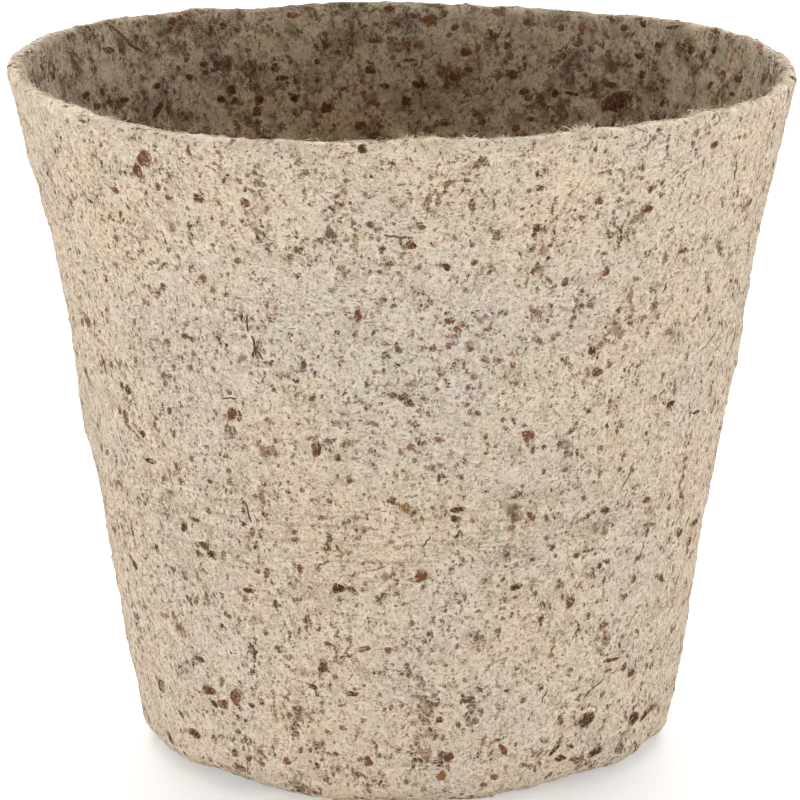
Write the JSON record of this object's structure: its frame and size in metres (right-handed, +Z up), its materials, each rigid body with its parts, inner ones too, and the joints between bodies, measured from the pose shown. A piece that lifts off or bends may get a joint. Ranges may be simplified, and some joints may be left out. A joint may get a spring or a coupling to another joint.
{
  "type": "peat pot",
  "caption": "Round tapered seedling pot pressed from peat and wood fibre, with a flared mouth, a soft stacking shoulder and a dished floor. It is planted whole and rots away.",
  "frame": {"origin": "middle of the plane that the pot stands on", "axes": "+Z up along the pot's axis, -Y towards the side that the picture shows"},
  "size_m": [0.0796, 0.0796, 0.07],
  "materials": {
    "pressed_peat_fibre": "matt felted fibre, pale beige with dark peat flecks and red-brown bark bits"
  },
  "bodies": {
    "root": {"pressed_shell": "pressed_peat_fibre"}
  },
  "joints": []
}
